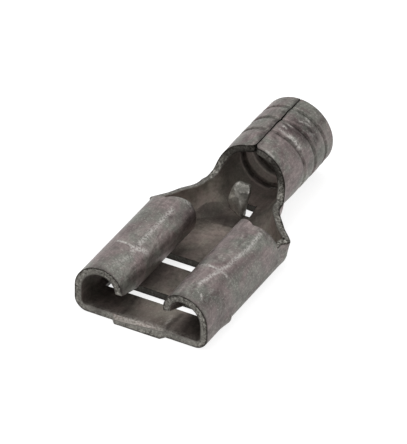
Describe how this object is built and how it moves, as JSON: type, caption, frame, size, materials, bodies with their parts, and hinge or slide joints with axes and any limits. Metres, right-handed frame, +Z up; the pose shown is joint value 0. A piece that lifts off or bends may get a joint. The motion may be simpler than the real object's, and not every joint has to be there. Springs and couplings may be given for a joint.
{
  "type": "female spade terminal",
  "caption": "Uninsulated female spade terminal: a folded sheet socket that grips a flat tab, a waist with a tab stop, and a rolled crimp barrel for a wire.",
  "frame": {"origin": "middle of the bounding box, on the plane that the floor and the barrel lie on", "axes": "+X across the tab, +Y from the tab mouth towards the wire end, +Z up from the floor to the rolls"},
  "size_m": [0.0084, 0.0174, 0.0042],
  "materials": {
    "terminal": "dull tin plate over brass, handled and stained"
  },
  "bodies": {
    "root": {"terminal": "terminal"}
  },
  "joints": []
}
